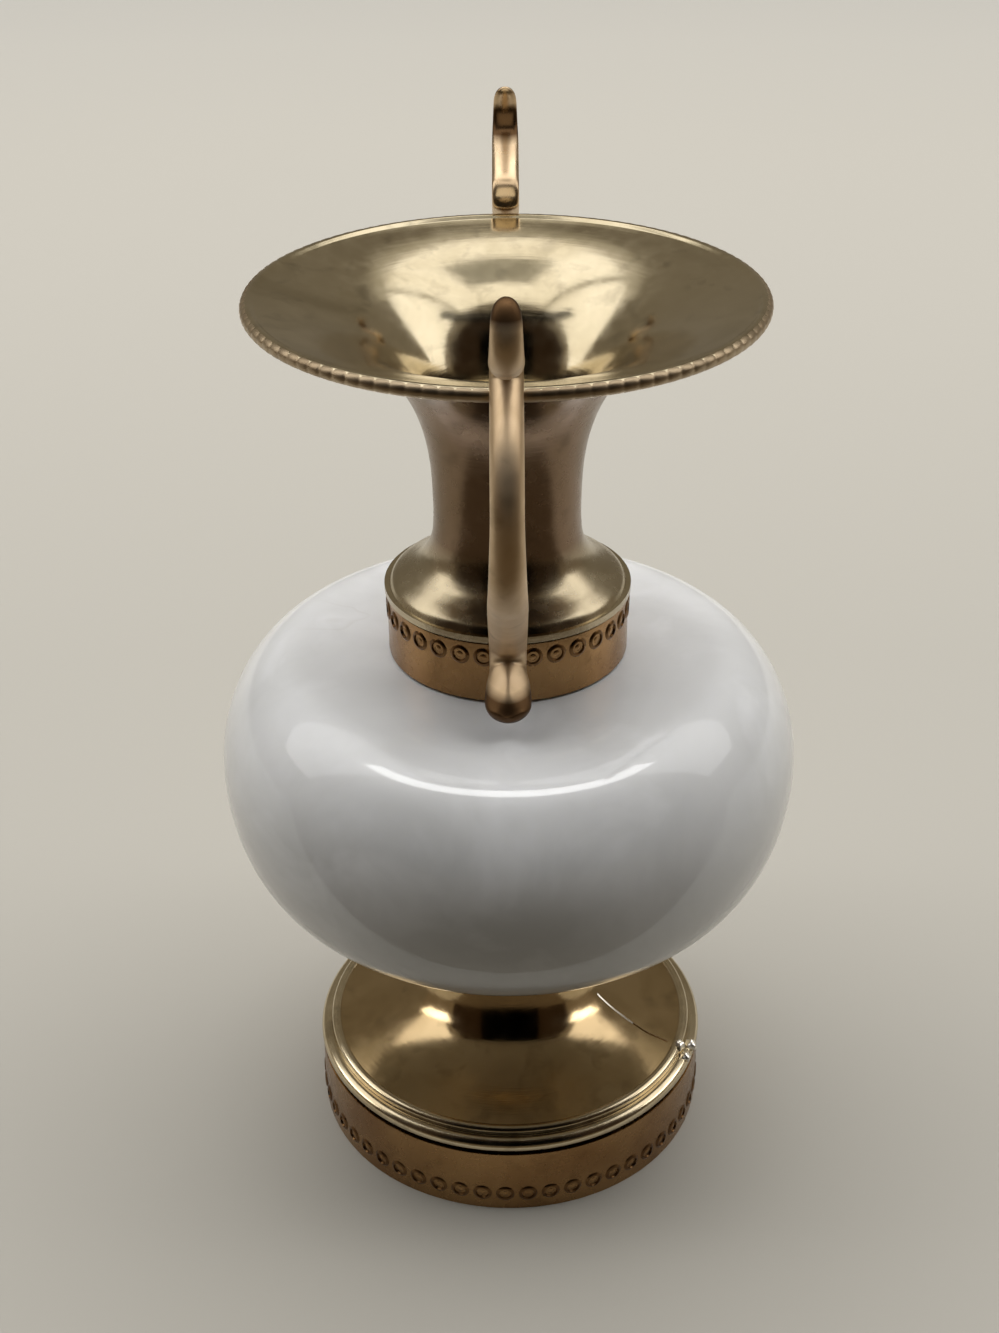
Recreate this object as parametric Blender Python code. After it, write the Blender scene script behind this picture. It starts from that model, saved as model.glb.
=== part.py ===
"""Bud vase: a marble body clamped between a spun brass foot and a brass trumpet neck with two scroll handles.

Metres, +Z up. The origin is on the floor under the middle, and the handles lie in the YZ plane.
"""

import math

import bmesh
import bpy
from mathutils import Matrix, Vector

MM = 0.001

# Fits and sheet
CLEARANCE = 0.3 * MM
SHEET = 0.9 * MM
BAND_SHEET = 0.8 * MM

# Foot: a stamped band round a spun dish with two beads at its edge and a stem in the middle
FOOT_RADIUS = 23.1 * MM
BAND_SETBACK = 0.1 * MM
BAND_HEIGHT = 8.3 * MM
BAND_HEM = 2.6 * MM
LOWER_BEAD = 0.95 * MM
UPPER_BEAD = 0.6 * MM
STEM_RADIUS = 7.9 * MM
WAIST_HEIGHT = 23.5 * MM
STEM_TOP_RADIUS = 11.0 * MM
STEM_PLATE = 1.3 * MM
FOOT_HEIGHT = 32.7 * MM

# Marble: flat above and below, with rounded shoulders that meet at the belly
MARBLE_RADIUS = 31.8 * MM
MARBLE_HEIGHT = 29.0 * MM
BELLY_HEIGHT = 15.6 * MM
SHOULDER_WIDTH = 9.6 * MM
BORE_RADIUS = 4.0 * MM

# Collar and neck
COLLAR_RADIUS = 12.9 * MM
COLLAR_HEIGHT = 6.6 * MM
FLOOR_THICKNESS = 1.2 * MM
LIP_OVERHANG = 0.25 * MM
LIP_THICKNESS = 0.7 * MM
DOME_SETBACK = 0.5 * MM
DOME_HEIGHT = 7.4 * MM
NECK_RADIUS = 7.75 * MM
NECK_STRAIGHT = 2.5 * MM
RIM_RADIUS = 26.0 * MM
RIM_ROLL = 0.7 * MM
FLARE_HEIGHT = 21.2 * MM

# Tie rod and its nuts and washers
ROD_RADIUS = 3.0 * MM
ROD_END = 2.0 * MM
ROD_CHAMFER = 0.5 * MM
NUT_ACROSS_FLATS = 10.0 * MM
NUT_HEIGHT = 5.0 * MM
WASHER_RADIUS = 6.2 * MM
WASHER_THICKNESS = 1.2 * MM

# Handle: a section is (half width, depth outwards, depth inwards) about the centre line
TOE = (2.15 * MM, 2.0 * MM, 1.9 * MM)
ANKLE = (1.9 * MM, 1.9 * MM, 0.9 * MM)
STRAP_FOOT = (1.95 * MM, 1.5 * MM, 0.5 * MM)
STRAP_HEAD = (1.5 * MM, 1.35 * MM, 0.45 * MM)
TIP = (1.25 * MM, 0.8 * MM, 0.45 * MM)
TOE_LENGTH = 3.4 * MM
CURL_RADIUS = 2.1 * MM
CURL_DROP = 0.2 * MM
SHOULDER_RADIUS = 9.0 * MM
SHOULDER_RUN = 4.4 * MM
KNEE_RADIUS = 1.6 * MM
FLARE_RADIUS = 24.0 * MM
HOOK_RADIUS = 3.0 * MM
TIP_LENGTH = 1.4 * MM
PEG_RADIUS = 0.8 * MM
PEG_DROP = 1.6 * MM

# Directions of the handle's centre line, in degrees above the outward horizontal
TOE_DIRECTION = 160
RETURN_DIRECTION = 40
SIDE_DIRECTION = 90
SHOULDER_DIRECTION = 142
FLARE_DIRECTION = 10
HOOK_START = 29
HOOK_END = 122
RIM_SEAT = SHOULDER_DIRECTION - SIDE_DIRECTION

# Facets
ROUND_STEPS = 48
SMALL_STEPS = 24
HANDLE_SIDES = 10
SHARP_ANGLE = 35

# Heights of the stack, from the floor up
MARBLE_BOTTOM = FOOT_HEIGHT + CLEARANCE
MARBLE_TOP = MARBLE_BOTTOM + MARBLE_HEIGHT
COLLAR_BOTTOM = MARBLE_TOP + CLEARANCE
COLLAR_TOP = COLLAR_BOTTOM + COLLAR_HEIGHT
LIP_BOTTOM = COLLAR_TOP + CLEARANCE
LIP_TOP = LIP_BOTTOM + LIP_THICKNESS
NECK_BOTTOM = LIP_TOP + DOME_HEIGHT
NECK_TOP = NECK_BOTTOM + NECK_STRAIGHT
ROLL_HEIGHT = NECK_TOP + FLARE_HEIGHT
LIP_RADIUS = COLLAR_RADIUS + LIP_OVERHANG
SKIRT_RADIUS = COLLAR_RADIUS - BAND_SHEET - CLEARANCE
HOLE_RADIUS = ROD_RADIUS + CLEARANCE
STACK_STEP = WASHER_THICKNESS + CLEARANCE
FOOT_WASHER_BOTTOM = FOOT_HEIGHT - STEM_PLATE - STACK_STEP
FOOT_NUT_BOTTOM = FOOT_WASHER_BOTTOM - CLEARANCE - NUT_HEIGHT
NECK_WASHER_BOTTOM = COLLAR_BOTTOM + FLOOR_THICKNESS + CLEARANCE
NECK_NUT_BOTTOM = NECK_WASHER_BOTTOM + STACK_STEP


def clear_scene():
    for old in list(bpy.data.objects):
        bpy.data.objects.remove(old, do_unlink=True)


def material(name, colour, roughness, metallic):
    made = bpy.data.materials.new(name)
    made.use_nodes = True
    shader = made.node_tree.nodes["Principled BSDF"]
    shader.inputs["Base Color"].default_value = (*colour, 1)
    shader.inputs["Roughness"].default_value = roughness
    shader.inputs["Metallic"].default_value = metallic
    made.diffuse_color = (*colour, 1)
    return made


def add_piece(name, bm, surface, height=0.0):
    """An object from a bmesh, shaded smooth except at its edges and carried by the vase's empty."""
    bmesh.ops.recalc_face_normals(bm, faces=bm.faces)
    mesh = bpy.data.meshes.new(name)
    bm.to_mesh(mesh)
    bm.free()
    mesh.shade_smooth()
    mesh.set_sharp_from_angle(angle=math.radians(SHARP_ANGLE))
    mesh.materials.append(surface)
    piece = bpy.data.objects.new(name, mesh)
    bpy.context.scene.collection.objects.link(piece)
    piece.parent = bpy.data.objects.get("bud_vase")
    piece.location.z = height
    return piece


def make_helper(piece):
    """A cutter or an added lump: it shapes another piece and isn't one itself."""
    piece.hide_render = True
    piece.display_type = "WIRE"
    return piece


def boolean(piece, other, operation):
    step = piece.modifiers.new(operation.lower(), "BOOLEAN")
    step.operation = operation
    step.solver = "EXACT"
    step.object = other


def direction(degrees):
    angle = math.radians(degrees)
    return Vector((math.cos(angle), math.sin(angle)))


def curve(start, end, first, second, steps):
    """A cubic curve, with its two handles given as shares of the box between its ends."""
    start, end = Vector(start), Vector(end)
    box = end - start
    one = start + Vector((box.x * first[0], box.y * first[1]))
    two = start + Vector((box.x * second[0], box.y * second[1]))
    points = []
    for step in range(steps + 1):
        t = step / steps
        u = 1 - t
        points.append(u**3 * start + 3 * u * u * t * one + 3 * u * t * t * two + t**3 * end)
    return points


def arc(centre, radius, start, end, steps):
    turn = (end - start) / steps
    return [Vector(centre) + radius * direction(start + turn * step) for step in range(steps + 1)]


def offset_left(points, distance):
    """The same line moved to the left of its direction of travel."""
    moved = []
    for index, point in enumerate(points):
        before = points[max(index - 1, 0)]
        after = points[min(index + 1, len(points) - 1)]
        along = (after - before).normalized()
        moved.append(point + distance * Vector((-along.y, along.x)))
    return moved


def turned(name, outline, surface, height=0.0, steps=ROUND_STEPS):
    """A turned piece from a closed outline of (radius, height) points."""
    bm = bmesh.new()
    loop = [bm.verts.new((point[0], 0, point[1])) for point in outline]
    edges = [bm.edges.new(pair) for pair in zip(loop, loop[1:] + loop[:1])]
    bmesh.ops.spin(
        bm, geom=loop + edges, cent=(0, 0, 0), axis=(0, 0, 1), angle=math.tau, steps=steps, use_merge=True
    )
    return add_piece(name, bm, surface, height)


def rectangle(inner, outer, bottom, top):
    return [(inner, bottom), (outer, bottom), (outer, top), (inner, top)]


def lofted(name, rings, surface):
    """A closed skin through rings of as many points each, capped at both ends."""
    bm = bmesh.new()
    loops = [[bm.verts.new(point) for point in ring] for ring in rings]
    for below, above in zip(loops, loops[1:]):
        for index in range(len(below)):
            beside = (index + 1) % len(below)
            bm.faces.new((below[index], below[beside], above[beside], above[index]))
    bm.faces.new(loops[0])
    bm.faces.new(loops[-1])
    return add_piece(name, bm, surface)


def foot_band(surface):
    """The upright stamped band, hemmed inwards below so that the vase stands on a flat ring."""
    outer = FOOT_RADIUS - BAND_SETBACK
    inner = outer - BAND_SHEET
    hem = outer - BAND_HEM
    turned(
        "foot_band",
        [(hem, 0), (outer, 0), (outer, BAND_HEIGHT), (inner, BAND_HEIGHT), (inner, BAND_SHEET), (hem, BAND_SHEET)],
        surface,
    )


def foot_dish(surface):
    """The spun foot: stem, dish, two beads and a plain wall that goes down inside the band."""
    wall = FOOT_RADIUS - BAND_SETBACK - BAND_SHEET - CLEARANCE
    wall_bottom = BAND_SHEET + CLEARANCE
    ledge = BAND_HEIGHT + CLEARANCE
    lower = Vector((FOOT_RADIUS - LOWER_BEAD, ledge + 0.8 * LOWER_BEAD))
    upper = lower + (LOWER_BEAD + 0.9 * UPPER_BEAD) * direction(127)
    dish_edge = upper + UPPER_BEAD * direction(152)
    stem = (STEM_RADIUS, WAIST_HEIGHT)
    dish = curve(dish_edge, stem, (0.58, 0.15), (0.97, 0.39), 9)
    flare = curve(stem, (STEM_TOP_RADIUS, FOOT_HEIGHT - SHEET), (0, 0.54), (0.23, 0.89), 4)
    inside = offset_left(dish, SHEET)
    plate = FOOT_HEIGHT - STEM_PLATE
    outline = [(wall, wall_bottom), (wall, ledge)]
    outline += arc(lower, LOWER_BEAD, -53, 105, 5)
    outline += arc(upper, UPPER_BEAD, -15, 140, 4)
    outline += dish + flare[1:]
    outline += [(STEM_TOP_RADIUS, FOOT_HEIGHT), (HOLE_RADIUS, FOOT_HEIGHT)]
    outline += [(HOLE_RADIUS, plate), (STEM_RADIUS - SHEET, plate)]
    outline += [point for point in reversed(inside)]
    outline += [(wall - SHEET, ledge), (wall - SHEET, wall_bottom)]
    turned("foot_dish", outline, surface)


def marble_body(surface):
    """A bored stone with elliptical shoulders above and below its belly."""
    centre = MARBLE_RADIUS - SHOULDER_WIDTH
    outline = [(BORE_RADIUS, MARBLE_HEIGHT), (BORE_RADIUS, 0)]
    steps = 18
    for step in range(steps + 1):
        out, up = direction(180 * step / steps - 90)
        depth = MARBLE_HEIGHT - BELLY_HEIGHT if up > 0 else BELLY_HEIGHT
        outline.append((centre + SHOULDER_WIDTH * out, BELLY_HEIGHT + depth * up))
    turned("marble_body", outline, surface, MARBLE_BOTTOM)


def collar_band(surface):
    """The stamped collar, holed at the front and the back for the handles' pegs."""
    band = turned(
        "collar_band",
        rectangle(COLLAR_RADIUS - BAND_SHEET, COLLAR_RADIUS, 0, COLLAR_HEIGHT),
        surface,
        COLLAR_BOTTOM,
    )
    drill = cylinder_along_y("collar_drill", PEG_RADIUS + CLEARANCE, -2 * COLLAR_RADIUS, 2 * COLLAR_RADIUS, surface)
    boolean(band, make_helper(drill), "DIFFERENCE")


def cylinder_along_y(name, radius, start, end, surface):
    """A round bar at the height of the handles' pegs."""
    bm = bmesh.new()
    bmesh.ops.create_cone(
        bm, cap_ends=True, segments=SMALL_STEPS // 2, radius1=radius, radius2=radius, depth=end - start
    )
    turn = Matrix.Rotation(math.pi / 2, 4, "X")
    place = Matrix.Translation((0, (start + end) / 2, COLLAR_TOP - PEG_DROP))
    bmesh.ops.transform(bm, matrix=place @ turn, verts=bm.verts)
    return add_piece(name, bm, surface)


def neck_floor(surface):
    """The disc that closes the neck below and spreads the nut's load over the marble."""
    turned("neck_floor", rectangle(HOLE_RADIUS, SKIRT_RADIUS, 0, FLOOR_THICKNESS), surface, COLLAR_BOTTOM)


def neck_trumpet(surface):
    """The spun neck: skirt inside the collar, lip on its edge, dome, straight neck, flare and rolled rim."""
    skirt_bottom = NECK_WASHER_BOTTOM
    dome = curve((LIP_RADIUS - DOME_SETBACK, LIP_TOP), (NECK_RADIUS, NECK_BOTTOM), (0.08, 0.25), (1, 0.17), 7)
    roll = Vector((RIM_RADIUS - RIM_ROLL, ROLL_HEIGHT))
    flare_end = roll + RIM_ROLL * direction(225)
    flare = curve((NECK_RADIUS, NECK_TOP), flare_end, (0, 0.62), (0.34, 0.88), 9)
    outside = dome + flare
    skirt_inside = SKIRT_RADIUS - SHEET
    inside = [point for point in offset_left(outside, SHEET) if point.x < skirt_inside or point.y > NECK_TOP]
    outline = [(skirt_inside, skirt_bottom), (SKIRT_RADIUS, skirt_bottom), (SKIRT_RADIUS, LIP_BOTTOM)]
    outline += [(LIP_RADIUS, LIP_BOTTOM), (LIP_RADIUS, LIP_TOP)]
    outline += outside
    outline += arc(roll, RIM_ROLL, -90, 135, 7)
    outline += [point for point in reversed(inside)]
    outline += [(skirt_inside, inside[0].y - (skirt_inside - inside[0].x))]
    turned("neck_trumpet", outline, surface)


def blend(first, second, share):
    return tuple(a + (b - a) * share for a, b in zip(first, second))


def walk(stations, length, turn, section, steps):
    """Carry the centre line on by a length that turns evenly, easing into the given section."""
    point, heading, start = stations[-1]
    for step in range(1, steps + 1):
        share = step / steps
        middle = direction(heading + turn * share / 2)
        half = math.radians(turn * share / 2)
        chord = length * share * (math.sin(half) / half if half else 1)
        stations.append((point + chord * middle, heading + turn * share, blend(start, section, share)))


def walk_arc(stations, radius, heading, section, steps):
    turn = heading - stations[-1][1]
    walk(stations, radius * math.radians(abs(turn)), turn, section, steps)


def arc_span(radius, start, end):
    """Where an arc that turns left from one heading to another ends, seen from where it starts."""
    return radius * Vector(
        (
            math.sin(math.radians(end)) - math.sin(math.radians(start)),
            math.cos(math.radians(start)) - math.cos(math.radians(end)),
        )
    )


def handle_line():
    """Stations (point, heading, section) from the toe at the collar to the tip above the rim.

    The curl is seated on the neck's lip and the knee on the rolled rim. The return's length and the bow's
    radius are worked out so that one smooth line joins them.
    """
    curl = Vector((LIP_RADIUS + CLEARANCE + STRAP_FOOT[2] + CURL_RADIUS, COLLAR_TOP - CURL_DROP))
    roll = Vector((RIM_RADIUS - RIM_ROLL, ROLL_HEIGHT))
    knee = roll + (RIM_ROLL + CLEARANCE + STRAP_HEAD[2] + KNEE_RADIUS) * direction(RIM_SEAT)
    leave = curl + CURL_RADIUS * direction(RETURN_DIRECTION + 90)
    arrive = knee + KNEE_RADIUS * direction(SHOULDER_DIRECTION + 90)
    gap = arrive - leave
    gap -= arc_span(SHOULDER_RADIUS, SIDE_DIRECTION, SHOULDER_DIRECTION)
    gap -= SHOULDER_RUN * direction(SHOULDER_DIRECTION)
    bow = arc_span(1, RETURN_DIRECTION, SIDE_DIRECTION)
    run = direction(RETURN_DIRECTION)
    return_length, bow_radius = Matrix(((run.x, bow.x), (run.y, bow.y))).inverted() @ gap

    toe_in = direction(TOE_DIRECTION)
    ankle = curl + CURL_RADIUS * direction(TOE_DIRECTION + 90)
    stations = []
    for rise in (12, 40, 66, 90):
        out, across = direction(rise)
        section = tuple(size * across for size in TOE)
        stations.append((ankle - (TOE_LENGTH + TOE[0] * out) * toe_in, TOE_DIRECTION, section))
    walk(stations, TOE_LENGTH, 0, ANKLE, 3)
    walk_arc(stations, CURL_RADIUS, RETURN_DIRECTION, STRAP_FOOT, 6)
    walk(stations, return_length, 0, STRAP_FOOT, 2)
    walk_arc(stations, bow_radius, SIDE_DIRECTION, STRAP_HEAD, 5)
    walk_arc(stations, SHOULDER_RADIUS, SHOULDER_DIRECTION, STRAP_HEAD, 4)
    walk(stations, SHOULDER_RUN, 0, STRAP_HEAD, 1)
    walk_arc(stations, KNEE_RADIUS, FLARE_DIRECTION, STRAP_HEAD, 6)
    walk_arc(stations, FLARE_RADIUS, HOOK_START, STRAP_HEAD, 4)
    walk_arc(stations, HOOK_RADIUS, HOOK_END, TIP, 5)
    hook_end = stations[-1][0]
    for rise in (52, 26, 10):
        out, across = direction(rise)
        section = tuple(size * across for size in TIP)
        stations.append((hook_end + TIP_LENGTH * out * direction(HOOK_END), HOOK_END, section))
    return stations


def handle(name, turn, surface):
    """A cast scroll handle on the vase's front, with its peg in the collar, turned about the vase's axis."""
    rings = []
    for point, heading, (half_width, outwards, inwards) in handle_line():
        left = direction(heading + 90)
        ring = []
        for side in range(HANDLE_SIDES):
            across, depth = direction(360 * side / HANDLE_SIDES)
            place = point + left * depth * (inwards if depth > 0 else outwards)
            ring.append((half_width * across, -place.x, place.y))
        rings.append(ring)
    scroll = lofted(name, rings, surface)
    root = COLLAR_RADIUS - BAND_SHEET
    peg_end = LIP_RADIUS + CLEARANCE + 2 * STRAP_FOOT[2]
    peg = cylinder_along_y(name + "_peg", PEG_RADIUS, -peg_end, -root, surface)
    peg.parent = scroll
    boolean(scroll, make_helper(peg), "UNION")
    scroll.rotation_euler.z = turn


def tie_rod(surface):
    """The rod that clamps the foot, the marble and the neck together, chamfered at both ends."""
    bottom = FOOT_NUT_BOTTOM - ROD_END
    top = NECK_NUT_BOTTOM + NUT_HEIGHT + ROD_END
    bm = bmesh.new()
    bmesh.ops.create_cone(
        bm, cap_ends=True, segments=SMALL_STEPS, radius1=ROD_RADIUS, radius2=ROD_RADIUS, depth=top - bottom
    )
    ends = [face for face in bm.faces if len(face.verts) > 4]
    rims = list({edge for face in ends for edge in face.edges})
    bmesh.ops.bevel(bm, geom=rims, offset=ROD_CHAMFER, segments=1, affect="EDGES")
    add_piece("tie_rod", bm, surface, (bottom + top) / 2)


def washer(name, bottom, surface):
    turned(name, rectangle(HOLE_RADIUS, WASHER_RADIUS, 0, WASHER_THICKNESS), surface, bottom, SMALL_STEPS)


def nut(name, bottom, surface):
    """A hexagon nut: the outside follows six flats, the inside is a plain round hole."""
    bm = bmesh.new()
    loops = []
    for step in range(SMALL_STEPS):
        degrees = 360 * step / SMALL_STEPS
        out, across = direction(degrees)
        flat = NUT_ACROSS_FLATS / 2 / math.cos(math.radians(degrees % 60 - 30))
        corners = [(flat, 0), (flat, NUT_HEIGHT), (HOLE_RADIUS, NUT_HEIGHT), (HOLE_RADIUS, 0)]
        loops.append([bm.verts.new((radius * out, radius * across, level)) for radius, level in corners])
    for near, far in zip(loops, loops[1:] + loops[:1]):
        for index in range(4):
            beside = (index + 1) % 4
            bm.faces.new((near[index], far[index], far[beside], near[beside]))
    add_piece(name, bm, surface, bottom)


def build():
    clear_scene()
    vase = bpy.data.objects.new("bud_vase", None)
    bpy.context.scene.collection.objects.link(vase)
    gilt = material("gilt_brass", (0.50, 0.38, 0.19), 0.28, 1)
    red_brass = material("red_brass", (0.46, 0.27, 0.13), 0.38, 1)
    marble = material("white_marble", (0.80, 0.80, 0.79), 0.12, 0)
    steel = material("plated_steel", (0.55, 0.55, 0.54), 0.35, 1)

    foot_band(red_brass)
    foot_dish(gilt)
    marble_body(marble)
    collar_band(red_brass)
    neck_floor(gilt)
    neck_trumpet(gilt)
    handle("handle_front", 0, gilt)
    handle("handle_back", math.pi, gilt)
    tie_rod(steel)
    washer("foot_washer", FOOT_WASHER_BOTTOM, steel)
    nut("foot_nut", FOOT_NUT_BOTTOM, steel)
    washer("neck_washer", NECK_WASHER_BOTTOM, steel)
    nut("neck_nut", NECK_NUT_BOTTOM, steel)


build()
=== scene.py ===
"""Looks of the marble and brass bud vase: smooth turned pieces, ornament, materials, camera and studio."""

import math

import bmesh
import bpy
from mathutils import Matrix, Vector


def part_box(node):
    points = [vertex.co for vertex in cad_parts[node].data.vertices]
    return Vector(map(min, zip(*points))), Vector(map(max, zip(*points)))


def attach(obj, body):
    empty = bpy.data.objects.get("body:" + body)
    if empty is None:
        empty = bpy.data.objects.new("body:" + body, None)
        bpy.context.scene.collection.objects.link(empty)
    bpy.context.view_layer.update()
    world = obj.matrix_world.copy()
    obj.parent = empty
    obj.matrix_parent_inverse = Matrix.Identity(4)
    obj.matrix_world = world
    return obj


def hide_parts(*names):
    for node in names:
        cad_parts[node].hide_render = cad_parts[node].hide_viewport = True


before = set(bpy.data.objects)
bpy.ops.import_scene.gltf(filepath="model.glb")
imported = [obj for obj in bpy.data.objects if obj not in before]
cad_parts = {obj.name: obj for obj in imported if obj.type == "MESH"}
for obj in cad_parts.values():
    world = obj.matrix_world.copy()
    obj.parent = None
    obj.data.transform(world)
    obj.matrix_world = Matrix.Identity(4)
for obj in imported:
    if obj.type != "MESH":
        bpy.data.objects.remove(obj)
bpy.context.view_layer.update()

MM = 0.001
BODY = "root"

# Sizes taken from the frame
RIM_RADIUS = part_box("neck_trumpet")[1].x
RIM_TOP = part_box("neck_trumpet")[1].z
BAND_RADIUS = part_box("foot_band")[1].x
BAND_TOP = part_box("foot_band")[1].z
COLLAR_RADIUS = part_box("collar_band")[1].x
COLLAR_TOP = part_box("collar_band")[1].z
TIP_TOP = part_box("handle_front")[1].z
TOE_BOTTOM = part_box("handle_front")[0].z

# Turning: points that bend past the corner angle stay sharp, and much longer sides stay straight
TURN_STEPS = 192
CURVE_STEPS = 4
CORNER_ANGLE = math.radians(42)
STRAIGHT_ANGLE = 0.002
STRAIGHT_RATIO = 3
SHADE_ANGLE = math.radians(30)
MERGE = 0.001 * MM

# Spun foot: its dish is a little flatter than the solid's, more so towards the stem
DISH_EDGE = 19.5 * MM
DISH_KNEE = 10.0 * MM
DISH_STEM = 8.0 * MM
DISH_LEAN = 0.11
BEAD_START = 20.5 * MM

# Cast handles: swelled by about what the smoothing draws a ten-sided section in
HANDLE_SWELL = 0.1 * MM
HANDLE_LEVELS = 3
JOIN_ANGLE = math.radians(50)
JOIN_SHAPE = math.radians(60)

# The handles' toes: broader than the solid's, leaned on top, with a ridge where they face up most
TOE_RADIUS = 15.5 * MM
TOE_END = 20.6 * MM
TOE_TOP = COLLAR_TOP + 1.5 * MM
TOE_SWELL = 0.3 * MM
TOE_LEAN = 0.2
TOE_RIDGE = 0.45 * MM
RIDGE_NARROWING = 0.85
LEANS_ABOVE = 0.3
RIDGE_ABOVE = 0.6

# Milled edge of the rim: a row of lobes on a bed whose edges sink into the rolled rim
RIM_ROLL = 0.7 * MM
MILL_COUNT = 108
MILL_STEPS = 8
MILL_ROWS = 10
MILL_LOW = math.radians(-70)
MILL_HIGH = math.radians(100)
MILL_PROUD = 0.08 * MM
MILL_BED = 0.08 * MM
MILL_SINK = 0.05 * MM

# Stamped circles: a raised lip that is steep inside and slopes away outside, with a dot in it
CIRCLE_RADIUS = 1.08 * MM
CIRCLE_WALL = 0.07 * MM
CIRCLE_SLOPE = 0.36 * MM
CIRCLE_RELIEF = 0.17 * MM
CIRCLE_STEPS = 20
LIP_STEPS = 6
DOT_RADIUS = 0.38 * MM
DOT_RELIEF = 0.07 * MM
DOT_STEPS = 3
FOOT_CIRCLES = 55
FOOT_CIRCLE_HEIGHT = 2.3 * MM
COLLAR_CIRCLES = 32
COLLAR_CIRCLE_HEIGHT = COLLAR_TOP - 1.5 * MM

# Seam across the foot: pale solder near the stem, and a dark brass on its outer end, which is painted shade
SEAM_ANGLE = math.radians(-21)
SEAM_BEND = math.radians(6)
SEAM_START = 10.7 * MM
SEAM_STRAIGHT = 17.5 * MM
SEAM_END = BAND_RADIUS - 2.3 * MM
SEAM_TOP = 17.0 * MM
SEAM_WIDTH = 0.55 * MM
SEAM_HEIGHT = 0.1 * MM
SEAM_SHADE_START = 15.5 * MM

# Drops of solder on the mouldings: angle in degrees, then distance, height and size in millimetres
SOLDER = (
    (-21.2, 21.6, 10.9, 0.62),
    (-17.6, 22.7, 10.1, 0.68),
    (-23.2, 22.7, 10.1, 0.55),
)
SOLDER_LEVELS = 3
SOLDER_LUMPS = 0.25
SOLDER_WAVES = (5, 4)

# Wear and tool marks on metal
SPOT_SHADE = 0.55
MARK_DEPTH = 0.006 * MM
MARK_TURN = 0.001

# Neck's outside: bright on the dome, and from the waist up rougher and painted much darker, as painted shade
DOME_TOP = COLLAR_TOP + 4.2 * MM
WAIST_HEIGHT = COLLAR_TOP + 7.0 * MM
DOME_GILT = (0.52, 0.44, 0.30)

# Painted shade on the front handle's ends and inside the back hook: a dark brass colour between these
# heights
FRONT_PAINTED_SHADE = ((TOE_BOTTOM - MM, TOE_BOTTOM + 2.9 * MM), (TIP_TOP - 1.8 * MM, TIP_TOP + MM))
BACK_PAINTED_SHADE = ((TIP_TOP - 5.4 * MM, TIP_TOP - 2.2 * MM),)
PAINTED_SHADE_FADE = 0.4 * MM
PAINTED_SHADE = (0.10, 0.055, 0.025)

# Marble
MARBLE_WHITE = (0.91, 0.91, 0.905)
MARBLE_CLOUD = (0.76, 0.76, 0.75)
MARBLE_BLOTCH = (0.97, 0.97, 0.97)
MARBLE_MOTTLE = (0.94, 0.94, 0.94)
MARBLE_VEIN = (0.52, 0.48, 0.42)
VEIN_LEVEL = 0.56
VEIN_WIDTH = 0.010

# Camera, in rim radii and degrees, and the picture's size in pixels
PHOTO_HEIGHT = 1333
FOCAL_PIXELS = 1850
SENSOR = 36
CAMERA_BACK = 6.7386 * RIM_RADIUS
CAMERA_HEIGHT = 6.2267 * RIM_RADIUS
CAMERA_PITCH = math.radians(30.452)
CAMERA_YAW = math.radians(-0.309)
CAMERA_ROLL = math.radians(-0.470)
CAMERA_NEAR = 0.01

# Floor and room, in metres: the floor is painted lighter to the back as painted light, and far away it fades
# into the room
FLOOR_RADIUS = 3.0
FLOOR_STEPS = 64
FLOOR_COLOUR = (0.42, 0.397, 0.349)
FLOOR_PAINTED_SPAN = (0.1, 0.6)
FLOOR_PAINTED_LIGHT = 1.3
FLOOR_MOTTLE = 0.05
FLOOR_END = (0.45, 1.0)
FLOOR_BOUNCE = (0.14, 0.13, 0.11)
ROOM_COLOUR = (0.60, 0.58, 0.53)
ROOM_LIGHT = (0.05, 0.048, 0.044)
BLACK = (0, 0, 0)

# Lamps over the vase, in metres
SOFTBOX_SIZE = (3.2, 0.52)
SOFTBOX_PLACE = (0.0, 0.16, 0.62)
SOFTBOX_LEVEL = 1.4
GLOW_SIZE = (1.1, 0.09)
GLOW_PLACE = (0.0, -0.05, 0.62)
GLOW_LEVEL = 2.45
FILL_SIZE = (3.2, 3.2)
FILL_PLACE = (0.0, 1.2, 1.6)
FILL_LEVEL = 1.5

# Lights that one piece alone mirrors, in metres
ARCH_MIDDLE = (0.0, 0.04, 0.62)
ARCH_REACH = (0.36, 0.27)
ARCH_WIDTH = 0.09
ARCH_ANGLE = math.radians(88)
ARCH_STEPS = 32
ARCH_LEVEL = (8.0, 8.0, 7.9)
WING_SIZE = (0.85, 0.80)
WING_PLACE = 1.475
WING_LEVEL = 4.5
HOOK_SIZE = (1.0, 0.15)
HOOK_PLACE = (0.0, -0.085, 0.62)
HOOK_LEVEL = 5.5
CREST_SIZE = (0.6, 0.50)
CREST_PLACE = (0.0, 0.67, 0.61)
CREST_LEVEL = 2.6
SHANK_SIDE = 0.3
SHANK_FRONT = -0.40
SHANK_HEIGHT = 0.70
SHANK_LEVEL = (1.0, 0.95, 0.8)
SOLDER_LIGHT_SIZE = (1.6, 1.2)
SOLDER_LIGHT_PLACE = (0.2, 0.0, 0.60)
SOLDER_LIGHT_LEVEL = 2.4

# The dim room that the brass mirrors, in metres
CARD_SIDE = 1.8
CARD_BACK = 0.95
CARD_FRONT = -0.45
CARD_HEIGHT = 1.25
# A dark sheet on the floor in front of the foot, which only the metal mirrors: painted shadow
FLOOR_SHADE_EDGE = -0.04
FRONT_LEVEL = (0.030, 0.018, 0.010)
FLOOR_SHADE_LEVEL = (0.13, 0.10, 0.065)
SIDE_LEVEL = (0.22, 0.18, 0.13)
BACK_LEVEL = (0.20, 0.175, 0.135)
CEILING_LEVEL = (0.22, 0.19, 0.15)

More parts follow.
